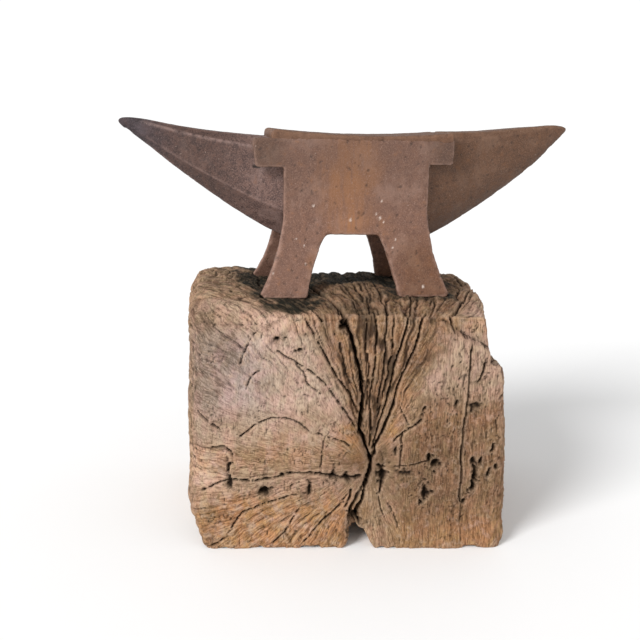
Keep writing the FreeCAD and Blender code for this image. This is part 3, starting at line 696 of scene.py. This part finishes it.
def wood_growth_and_shade(points, w, patchy):
    """Share of dark growth on the top, with painted shade under the anvil round its feet and behind
    them.
    """
    nearest = np.full(len(points), np.inf)
    for low, high in foot_boxes():
        gap_x = np.maximum(np.maximum(low[0] - w.x, w.x - high[0]), 0)
        gap_y = np.maximum(np.maximum(low[1] - w.y, w.y - high[1]), 0)
        nearest = np.minimum(nearest, np.hypot(gap_x, gap_y))
    nearest += 16 * smooth(98, 106, w.x)
    x = w.x + layered(points, 16, 84) * 14
    y = w.y + layered(points, 13, 85) * 12 + noise(w.rays, (6, 60, 40), 87) * 9
    # painted shade round the feet
    feet = smooth(30, 2, nearest + layered(points, 9, 86) * 8)
    # painted shadow of the anvil on the top behind the front feet
    behind = smooth(-30, 2, y) * smooth(128, 96, np.abs(x))
    left = smooth(-112, -84, x) * smooth(-32, -58, x) * smooth(-112, -92, y)
    left *= smooth(30, -20, w.y)
    right = smooth(20, 50, x) * smooth(118, 88, x) * smooth(-86, -60, w.y)
    thin = 0.22 * (1 - w.rim) + 0.22 * smooth(40, 18, np.abs(w.fan_x + 18))
    moss_and_shade = most(feet * 0.95, behind * 1.35, left * 1.2, right * 0.5, thin)
    return np.clip(w.top * moss_and_shade * (0.55 + 0.95 * patchy), 0, 1)


def patches(w, table):
    """The strongest of a table's soft patches on the front."""
    return most(*(strength * w.front * blob(w.fan_x, w.fan_z, *place)
                  for strength, *place in table))


def wood_tints(points, w, stain, patchy):
    """Shares of dark stain with painted shade, of warm and pale wood with a painted highlight, and
    of dull wood.
    """
    # painted shade on the front's left rounding
    left_rounding_shade = (1 - w.top) * smooth(-138, -162, w.fan_x) * smooth(90, 40, w.depth)
    stain = most(
        stain,
        patches(w, STAINED_AND_SHADED),
        0.4 * w.fan_core * w.front * smooth(20, 50, w.fan_z),
        0.45 * left_rounding_shade * (1 - w.chip),
    )
    # painted highlight along the front's top edge, laid as warm and pale wood
    rim_highlight = w.front * smooth(126, 142, w.fan_z) * w.clear_of_left
    warm = most(
        w.lower_left * smooth(-8, -60, w.fan_z) * 1.1,
        patches(w, WARMED),
        0.4 * w.chip * w.front,
        0.5 * w.fan_core * w.front * w.above,
        w.straight * smooth(-30, -80, w.fan_z) * 0.6,
        0.2 * w.side,
        0.45 * rim_highlight,
    )
    high = smooth(48, 92, w.fan_z)
    pale = most(
        w.flat + 0.72 * w.beyond + 0.45 * w.lower_left,
        0.7 * rim_highlight,
        0.75 * w.straight * high + 0.9 * w.rim,
        0.9 * w.chip * w.front,
    )
    dull = w.straight * (1 - 0.75 * high)
    dull += (w.fan_core * w.above * w.near_end + 0.45 * w.beyond
             + 0.4 * w.lower_left * smooth(-70, -25, w.fan_x))
    clouded = 0.5 + 0.5 * layered(points, 18, 83)
    return (np.clip(stain * (0.6 + 0.8 * patchy), 0, 1),
            np.clip(warm * (0.6 + 0.8 * clouded), 0, 1),
            np.clip(pale * (0.75 + 0.5 * patchy), 0, 1),
            np.clip(np.maximum(dull, patches(w, DULLED)), 0, 1))


def make_wood():
    """The block's mesh, carved along the rays that meet at its heart, with masks for its
    colours."""
    piece = remeshed("timber", NODES["wood_block"].data, 2 * FINE, 3)
    mesh = piece.data
    refine_front(mesh)
    base = read_points(mesh)
    points = worn_form(base)
    write_points(mesh, points)
    normals = relax(read_normals(mesh), read_edges(mesh), 5)
    normals /= np.linalg.norm(normals, axis=1)[:, None]
    w = wood_places(points, normals)
    inward = wood_relief(points, w)
    dark, stain = wood_cracks(points, w, inward)

    # the front's lower edge is crumbled
    crumble = smooth(7, 0, w.z) * smooth(12, 2, w.depth)
    crumble *= smooth(0.15, 0.6, noise(points, 9, 71))
    points = points - normals * inward[:, None]
    points[:, 2] = np.maximum(points[:, 2] + crumble * 3, 0)
    points = keep_feet_clear(base, points)
    write_points(mesh, points)

    patchy = 0.5 + 0.5 * layered(points, 14, 81)
    cavity, crest = wood_hollows(mesh, points, w, dark)
    moss_and_shade = wood_growth_and_shade(points, w, patchy)
    stain, warm, pale, dull = wood_tints(points, w, stain, patchy)
    upright = np.maximum(w.straight, 0.65 * w.flat)
    write_masks(mesh, "rays", w.across * MM, w.radius * MM, w.depth * MM)
    write_masks(mesh, "hollow", cavity, crest, moss_and_shade)
    write_masks(mesh, "tint", warm, pale, dull)
    write_masks(mesh, "grain", upright, w.side, stain)
    shade_smooth(mesh)
    return piece


def foot_boxes():
    """Lowest and highest corner of each foot's underside, in millimetres."""
    found = []
    for cheek in ("front_cheek", "rear_cheek"):
        points = read_points(NODES[cheek].data)
        low = points[points[:, 2] < FOOT_TOP]
        for half in (low[low[:, 0] < 0], low[low[:, 0] > 0]):
            found.append((half.min(axis=0), half.max(axis=0)))
    return found


def keep_feet_clear(base, points):
    """Under each foot the wood stays below the foot's underside."""
    for low, high in foot_boxes():
        inside = base[:, 2] > SEAT_LEVEL
        for axis in (0, 1):
            inside &= points[:, axis] > low[axis] - SEAT_ROOM
            inside &= points[:, axis] < high[axis] + SEAT_ROOM
        points[inside, 2] = np.minimum(points[inside, 2], low[2] - FOOT_GAP)
    return points


# the wood's colours: darkest and lightest streak of each kind, then the marks on them
PLAIN_WOOD = ((0.165, 0.093, 0.052), (0.41, 0.265, 0.168))
GREYED_WOOD = ((0.262, 0.175, 0.134), (0.53, 0.382, 0.304))
ORANGE_WOOD = ((0.205, 0.096, 0.039), (0.455, 0.24, 0.108))
BROWN_WOOD = ((0.088, 0.043, 0.021), (0.268, 0.143, 0.074))
GROWTH_AND_SHADE = ((0.012, 0.011, 0.007), (0.085, 0.058, 0.036))
DARK_BLOTCH, LIGHT_BLOTCH = (0.12, 0.068, 0.042), (0.5, 0.345, 0.26)
CREST_WEAR_AND_HIGHLIGHT, FLECK = (0.5, 0.335, 0.225), (0.54, 0.385, 0.285)
STAIN_AND_SHADE, PORE, CREVICE_SHADE = (0.066, 0.045, 0.026), (0.055, 0.03, 0.018), (0.012, 0.007, 0.004)


def wood_material():
    """Dry, split, weathered timber: fibres follow the rays at the ends and run lengthwise at the
    sides."""
    s = Shader("weathered_timber")
    place = s.node("ShaderNodeTexCoord").outputs["Object"]
    rays = s.attribute("rays", "Vector")
    cavity, crest, moss_and_shade = s.parts(s.attribute("hollow", "Vector"))
    warm, pale, dull = s.parts(s.attribute("tint", "Vector"))
    straight, side, stain = s.parts(s.attribute("grain", "Vector"))

    def fibres(wide, long, detail):
        """Noise drawn out along the fibre: by the rays, upright or front to back."""
        fanned = s.noise(s.scaled(rays, (wide * 1.4, long, long)), detail)
        upright = s.noise(s.scaled(place, (wide, long, long)), detail)
        upright_along = s.noise(s.scaled(place, (wide, wide * 9, long)), detail)
        lengthwise = s.noise(s.scaled(place, (wide, long * 1.5, wide)), detail)
        return s.mix(side, s.mix(straight, fanned, s.mix(0.5, upright, upright_along)), lengthwise)

    fine = fibres(1, 8.5, 3)
    coarse = fibres(3.6, 45, 3)
    cloud = s.even(place, 24, 4, 0.65)
    grit = s.even(place, 1.5, 4, 0.7)
    blotch = s.even(place, 9, 4, 0.6)
    hue = s.noise(s.scaled(place, (13, 13, 19)), 3, 0.55, 0.6)
    streak = s.plus(s.times(fine, 0.68), s.times(coarse, 0.32))

    plain = s.blend(s.ramp(streak, 0.41, 0.59), *PLAIN_WOOD)
    greyed = s.blend(s.ramp(streak, 0.39, 0.58), *GREYED_WOOD)
    orange = s.blend(s.ramp(streak, 0.41, 0.58), *ORANGE_WOOD)
    brown = s.blend(s.ramp(streak, 0.4, 0.6), *BROWN_WOOD)
    s.colour = s.blend(s.times(pale, s.ramp(cloud, 0.3, 0.55, 0.7, 1)), plain, greyed)
    s.lay(s.times(dull, s.ramp(cloud, 0.35, 0.6, 0.95, 0.65)), brown)
    s.lay(s.times(warm, s.ramp(blotch, 0.35, 0.6, 0.35, 1)), orange)
    s.lay(s.ramp(blotch, 0.54, 0.7, 0, 0.4), DARK_BLOTCH)
    s.lay(s.ramp(blotch, 0.46, 0.34, 0, 0.3), LIGHT_BLOTCH)
    cast = s.blend(s.ramp(hue, 0.38, 0.62), (0.95, 1, 0.94), (1.04, 0.98, 0.99))
    s.lay(1, cast, "MULTIPLY")
    # colder at the upper left
    where = s.parts(place)
    cold = s.times(s.ramp(where[0], -0.072, -0.125), s.ramp(where[2], 0.12, 0.165))
    cold = s.times(cold, s.ramp(where[2], 0.232, 0.208))
    s.lay(cold, (0.84, 0.89, 1.03), "MULTIPLY")
    # crests paler from wear and painted highlight
    s.lay(s.times(crest, 0.4), CREST_WEAR_AND_HIGHLIGHT)
    # stains, with painted shade on the upper left step and the left rounding
    s.lay(s.times(stain, s.ramp(grit, 0.35, 0.6, 1, 0.45)), STAIN_AND_SHADE)
    pores = s.ramp(s.noise(s.scaled(place, (1, 2.4, 3.2)), 3), 0.57, 0.67, 0, 0.5)
    s.lay(pores, PORE)
    s.lay(s.ramp(grit, 0.58, 0.72, 0, 0.5), FLECK)
    # dark growth, and painted shade under the anvil
    s.lay(moss_and_shade, s.blend(s.ramp(streak, 0.44, 0.62), *GROWTH_AND_SHADE))
    # painted shade in hollows, cracks, dents and gashes
    s.lay(s.times(cavity, s.ramp(grit, 0.3, 0.6, 0.85, 1)), CREVICE_SHADE)
    height = s.plus(s.times(fine, 0.7), s.times(grit, 0.35))
    height = s.math("SUBTRACT", height, s.times(pores, 0.5))
    return s.finish(0.92, height, 0.9, 0.15)


# ------------------------ the iron
SEAM = 398  # height where the face plate lies on the cheeks
LEFT_TIP = (-227.5, -235.4, 13.5, 412.6)  # where the tip's rounding starts and ends, its y and z
ARM_GAP_SHADE = (-99.5, 371, 5, 2.2)  # painted shadow of the slit under the left arm's end: x, z, half width and height
# the pale specks on the front cheek: x, z and size
SPECKS = (
    (-6, 320, 2.4), (24, 322, 2.6), (20, 326, 1.9), (25, 339, 1.7), (-44, 334, 2),
    (38, 292, 1.8), (41, 300, 1.6), (-53, 294, 1.6), (-51, 276, 1.7), (70, 253, 2.4),
    (-61, 301, 1.6), (28, 318, 1.6), (-84, 267, 1.6),
)


def rounded_tip(points):
    """The left beak's blunt end drawn in to a round one."""
    start, end, middle_y, middle_z = LEFT_TIP
    share = np.clip((start - points[:, 0]) / (start - end), 0, 0.97)
    scale = np.sqrt(1 - share ** 2)
    y = middle_y + (points[:, 1] - middle_y) * scale
    z = middle_z + (points[:, 2] - middle_z) * scale
    return np.stack([points[:, 0], y, z], axis=1)


def arm_slit_shade(points, normals):
    """1 on the left beak where the slit under the end of the front cheek's arm is painted as shade.
    """
    x, z, wide, high = ARM_GAP_SHADE
    share = smooth(wide, wide - 2, np.abs(points[:, 0] - x))
    share *= smooth(high, high - 1.2, np.abs(points[:, 2] - z))
    return share * (normals[:, 1] < -0.3)


def cheek_tints(points, middle, half):
    """Shares of the orange run of rust down a cheek, and of the tan and the dull iron by it."""
    sway = noise(points, 26, 14) * 13 + noise(points, 9, 15) * 7
    warm = smooth(half + 18, half - 22, np.abs(points[:, 0] - middle + sway))
    warm *= 0.65 + 0.5 * noise(points, 21, 16)
    tan = smooth(26, 60, points[:, 0]) * smooth(322, 276, points[:, 2])
    dim = smooth(62, 86, np.abs(points[:, 0])) * smooth(320, 345, points[:, 2])
    return np.clip(warm, 0, 1), tan, dim


def speck_share(points, normals):
    """1 on the pale specks of the front cheek."""
    speck = np.zeros(len(points))
    for x, z, size in SPECKS:
        gap = np.hypot((points[:, 0] - x) * 1.4, points[:, 2] - z)
        speck = np.maximum(speck, 1 - smooth(size * 0.2, size, gap))
    return speck * smooth(-0.5, -0.9, normals[:, 1])


def iron_piece(name, source, rounds=1, seam=0, rust_run=None, specks=False, beak=False,
               blunt=False):
    """Forged, rusted skin round a mesh: worn edges, hammer marks and pits, with colour masks.
    seam raises or lowers its edge at the face plate's seam, which is hammered shut. A beak gets
    painted shade on its underside, and a blunt one has the left beak's rounded tip and the painted
    shadow of the slit at its root."""
    piece = remeshed(name, source, IRON_FINE, rounds)
    mesh = piece.data
    points, normals, edges = read_points(mesh), read_normals(mesh), read_edges(mesh)
    ridge = np.einsum("ij,ij->i", normals, points - relax(points, edges, 8))
    edge = smooth(0.08, 0.55, ridge)
    inward = layered(points, 38, 3) * 0.28 + noise(points, 9, 4) * 0.16
    inward += noise(points, 4.2, 6) * 0.09
    nicks = smooth(0.15, 0.6, noise(points, 7, 7)) * edge
    pits = smooth(0.62, 0.85, noise(points, 3.6, 12))
    inward += nicks * 0.9 + pits * 0.35
    points = points - normals * inward[:, None]
    if seam:
        closeness = smooth(3.6, 0.4, np.abs(points[:, 2] - SEAM))
        points[:, 2] += seam * closeness
        edge *= 1 - 0.8 * closeness
    if blunt:
        points = rounded_tip(points)
    write_points(mesh, points)
    valley = np.einsum("ij,ij->i", read_normals(mesh), relax(points, edges, 3) - points)
    # painted shade in creases, with the pits darker
    hollow = np.clip(smooth(0.03, 0.35, valley) + pits * 0.5, 0, 1)
    if beak:
        # painted shade on a beak's underside
        hollow = np.maximum(hollow, 0.75 * smooth(-0.35, -0.9, normals[:, 2]))
    if blunt:
        # painted shadow of the slit under the arm
        hollow = np.maximum(hollow, 1.8 * arm_slit_shade(points, normals))
    speck, warm, tan, dim = np.zeros((4, len(points)))
    if rust_run is not None:
        warm, tan, dim = cheek_tints(points, *rust_run)
    if specks:
        speck = speck_share(points, normals)
    write_masks(mesh, "edge_hollow_rust", edge, hollow, warm)
    write_masks(mesh, "marks", speck, tan, dim)
    shade_smooth(mesh)
    return piece


# marks and tints on the iron, with the painted shade of its hollows
DARK_GRAIN, IRON_HOLLOW_SHADE = (0.034, 0.021, 0.016), (0.02, 0.012, 0.009)
IRON_SHADE, PALE_CHIP = (0.028, 0.018, 0.014), (0.46, 0.35, 0.29)
PALE_SPECK, TAN_TINT = (0.66, 0.55, 0.48), (0.74, 0.65, 0.52)
DIM_TINT = (0.72, 0.73, 0.71)


def iron_material(name, dark, middle, light, warm_colour, shaded=1, even=0, tip=None):
    """Old brown rust over forged iron, paler on its edges from wear and painted highlight, and
    darker in hollows and under the beaks with painted shade. shaded below 1 darkens it towards the
    top, even calms its speckle, or roughens it if negative, and tip gives the two colours that tint
    it outward to the left."""
    s = Shader(name)
    place = s.node("ShaderNodeTexCoord").outputs["Object"]
    edge, hollow, warm = s.parts(s.attribute("edge_hollow_rust", "Vector"))
    speck, tan, dim = s.parts(s.attribute("marks", "Vector"))
    cloud = s.even(place, 30, 5, 0.62)
    mottle = s.even(place, 7, 5, 0.68)
    grain = s.even(place, 1.6, 4, 0.7)
    peel = s.cells(s.scaled(place, (2.3, 2.3, 2.3)))
    run = s.noise(s.scaled(place, (5, 30, 46)), 4, 0.6)
    fine = s.even(place, 0.8, 2, 0.6)
    tone = s.plus(s.times(mottle, 0.45), s.times(grain, 0.3))
    tone = s.plus(tone, s.times(fine, 0.25))
    spread = s.ramp(tone, 0.4 - 0.04 * even, 0.56 + 0.05 * even, 0.35 * even)
    s.colour = s.blend(spread, dark, middle)
    s.lay(s.ramp(cloud, 0.5, 0.68, 0, 0.45), light)
    s.lay(s.times(warm, s.ramp(run, 0.34, 0.58, 0.35, 1)), warm_colour)
    s.lay(s.ramp(mottle, 0.6, 0.7, 0, 0.45), warm_colour)
    s.lay(s.ramp(grain, 0.54, 0.68, 0, 0.6), light)
    s.lay(s.ramp(fine, 0.56, 0.7, 0, 0.45), light)
    s.lay(s.ramp(grain, 0.42, 0.28, 0, 0.6 - 0.35 * even), DARK_GRAIN)
    s.lay(tan, TAN_TINT, "MULTIPLY")
    s.lay(dim, DIM_TINT, "MULTIPLY")
    if tip is not None:
        along = s.parts(place)[0]
        s.lay(s.ramp(along, -0.085, -0.15), tip[0], "MULTIPLY")
        s.lay(s.ramp(along, -0.165, -0.225), tip[1], "MULTIPLY")
        edge = s.times(edge, s.ramp(along, -0.215, -0.2))
    # edges paler from wear and painted highlight
    s.lay(s.times(edge, s.ramp(mottle, 0.35, 0.6, 0.1, 0.6)), light)
    # painted shade in creases, under the beaks and in the slit under the arm, with dark pits
    s.lay(s.times(hollow, 0.55), IRON_HOLLOW_SHADE)
    s.lay(s.ramp(s.parts(place)[2], 0.3, 0.385, 0, 1 - shaded), IRON_SHADE)
    chips = s.ramp(s.noise(s.scaled(place, (1.6, 1.6, 3)), 2), 0.72, 0.76, 0, 0.5)
    s.lay(chips, PALE_CHIP)
    s.lay(s.times(speck, s.ramp(grain, 0.36, 0.54, 0.15, 0.95)), PALE_SPECK)
    height = s.plus(s.times(grain, 0.6), s.times(mottle, 0.5))
    height = s.plus(height, s.times(peel, 0.25))
    rough = s.ramp(mottle, 0.35, 0.65, 0.58, 0.78)
    return s.finish(rough, height, 0.55, 0.35)


def give(piece, body, slot, material, *replaced):
    piece.data.materials.clear()
    piece.data.materials.append(material)
    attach(piece, body)
    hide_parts(*replaced)


give(make_wood(), "block", "weathered_wood", wood_material(), "wood_block")

# dark, middle and light rust, then the orange of its runs
PURPLE = ((0.073, 0.04, 0.034), (0.148, 0.085, 0.069), (0.258, 0.17, 0.148), (0.178, 0.084, 0.05))
BROWN = ((0.068, 0.032, 0.017), (0.128, 0.062, 0.034), (0.18, 0.102, 0.066), (0.18, 0.078, 0.032))
CHEEK = ((0.112, 0.056, 0.04), (0.208, 0.107, 0.072), (0.31, 0.188, 0.142), (0.3, 0.132, 0.055))
PLATE = ((0.083, 0.037, 0.021), (0.154, 0.069, 0.035), (0.224, 0.12, 0.073), (0.215, 0.086, 0.032))
TIP = ((0.56, 0.52, 0.49), (0.62, 0.79, 1.1))  # tints of the left beak's middle, then its tip
cheek_iron = iron_material("cheek_iron", *CHEEK, shaded=0.72, even=0.8)
left_iron = iron_material("left_beak_iron", *PURPLE, even=-0.6, tip=TIP)
right_iron = iron_material("right_beak_iron", *BROWN, even=0.6)
plate_iron = iron_material("plate_iron", *PLATE, shaded=0.8, even=0.6)
core_iron = iron_material("core_iron", *BROWN)
rivet_iron = iron_material("rivet_iron", *BROWN)

RIVETS = ("tenon_rivet_left", "tenon_rivet_right", "arch_rivet_left", "arch_rivet_right")
HOLE_RADIUS = 6.8  # just outside a rivet's hole in a cheek
RIVET_RADIUS, RIVET_SUNK = 5.9, 1.5  # a rivet's bar ends this far below the cheeks' faces
HAMMERED = 1.5  # how far a cheek and the face plate are drawn together
RUST_RUN = (-8, 26)  # x and half width of the orange run down a cheek


def rivet_axis(name):
    """x and z of a rivet, then the y where it starts and ends."""
    low, high = (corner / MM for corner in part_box(name))
    return (low.x + high.x) / 2, (low.z + high.z) / 2, low.y, high.y


rivet_axes = [rivet_axis(rivet)[:2] for rivet in RIVETS]
for cheek in ("front_cheek", "rear_cheek"):
    closed = without_holes(NODES[cheek].data, rivet_axes, HOLE_RADIUS)
    skin = iron_piece(cheek + "_skin", closed, seam=HAMMERED, rust_run=RUST_RUN,
                      specks=cheek == "front_cheek")
    give(skin, "anvil", "cheek_iron", cheek_iron, cheek)

for node, slot, material, options in (
    ("body_core", "core_iron", core_iron, {}),
    ("face_plate", "face_iron", plate_iron, {"seam": -HAMMERED}),
    ("left_beak", "square_beak_iron", left_iron, {"beak": True, "blunt": True}),
    ("right_beak", "round_beak_iron", right_iron, {"beak": True}),
):
    skin = iron_piece(node + "_skin", NODES[node].data, **options)
    give(skin, "anvil", slot, material, node)

for rivet in RIVETS:
    rx, rz, start, end = rivet_axis(rivet)
    bar = cylinder(RIVET_RADIUS, (rx, start + RIVET_SUNK, rz), (rx, end - RIVET_SUNK, rz))
    skin = iron_piece(rivet + "_skin", bar, rounds=2)
    give(skin, "anvil", "rivet_iron", rivet_iron, rivet)


# ------------------------ floor, light and camera
def stage_material():
    s = Shader("pale_floor")
    place = s.node("ShaderNodeTexCoord").outputs["Object"]
    cloud = s.even(place, 400, 3)
    grit = s.even(place, 3, 3)
    s.colour = s.blend(cloud, (0.88, 0.88, 0.88), (0.9, 0.9, 0.9))
    return s.finish(0.95, grit, 0.02, 0.05)


bpy.ops.mesh.primitive_plane_add(size=60)
floor = bpy.context.object
floor.name = "floor"
floor.data.materials.append(stage_material())

KEY_FROM = Vector((-0.68, -0.52, 0.52))  # towards the key light
key_data = bpy.data.lights.new("key", "SUN")
key_data.energy = 3
key_data.angle = math.radians(24)
key = bpy.data.objects.new("key", key_data)
key.rotation_euler = KEY_FROM.to_track_quat("Z", "Y").to_euler()
bpy.context.scene.collection.objects.link(key)


def studio_world():
    """Even pale light all round, brightest at the horizon so that the floor runs into it."""
    made = bpy.data.worlds.new("studio")
    made.use_nodes = True
    tree = made.node_tree
    place = tree.nodes.new("ShaderNodeTexCoord")
    split = tree.nodes.new("ShaderNodeSeparateXYZ")
    fade = tree.nodes.new("ShaderNodeMapRange")
    tree.links.new(place.outputs["Generated"], split.inputs[0])
    tree.links.new(split.outputs["Z"], fade.inputs["Value"])
    for key, value in {"From Min": 0.22, "From Max": 0.5, "To Min": 1.05, "To Max": 0.62}.items():
        fade.inputs[key].default_value = value
    tree.links.new(fade.outputs["Result"], tree.nodes["Background"].inputs["Strength"])
    tree.nodes["Background"].inputs["Color"].default_value = (1, 1, 1, 1)
    return made


bpy.context.scene.world = studio_world()
bpy.context.scene.view_settings.view_transform = "Standard"

CAMERA_PLACE = Vector((-0.1561, -0.8674, 0.4209))
CAMERA_TURN = math.radians(-8.3)  # from straight ahead along +Y
CAMERA_FALL = math.radians(13.65)  # how far it looks down
CAMERA_ROLL = math.radians(1.2)
ahead = Vector((-math.sin(CAMERA_TURN) * math.cos(CAMERA_FALL),
                math.cos(CAMERA_TURN) * math.cos(CAMERA_FALL), -math.sin(CAMERA_FALL)))
level = Vector((math.cos(CAMERA_TURN), math.sin(CAMERA_TURN), 0))
above = level.cross(ahead)
across_view = math.cos(CAMERA_ROLL) * level + math.sin(CAMERA_ROLL) * above
up_view = math.cos(CAMERA_ROLL) * above - math.sin(CAMERA_ROLL) * level
camera_data = bpy.data.cameras.new("camera")
camera_data.sensor_width = 36
camera_data.lens = 47.25
camera = bpy.data.objects.new("camera", camera_data)
bpy.context.scene.collection.objects.link(camera)
axes = Matrix((across_view, up_view, -ahead)).transposed().to_4x4()
camera.matrix_world = Matrix.Translation(CAMERA_PLACE) @ axes
bpy.context.scene.camera = camera
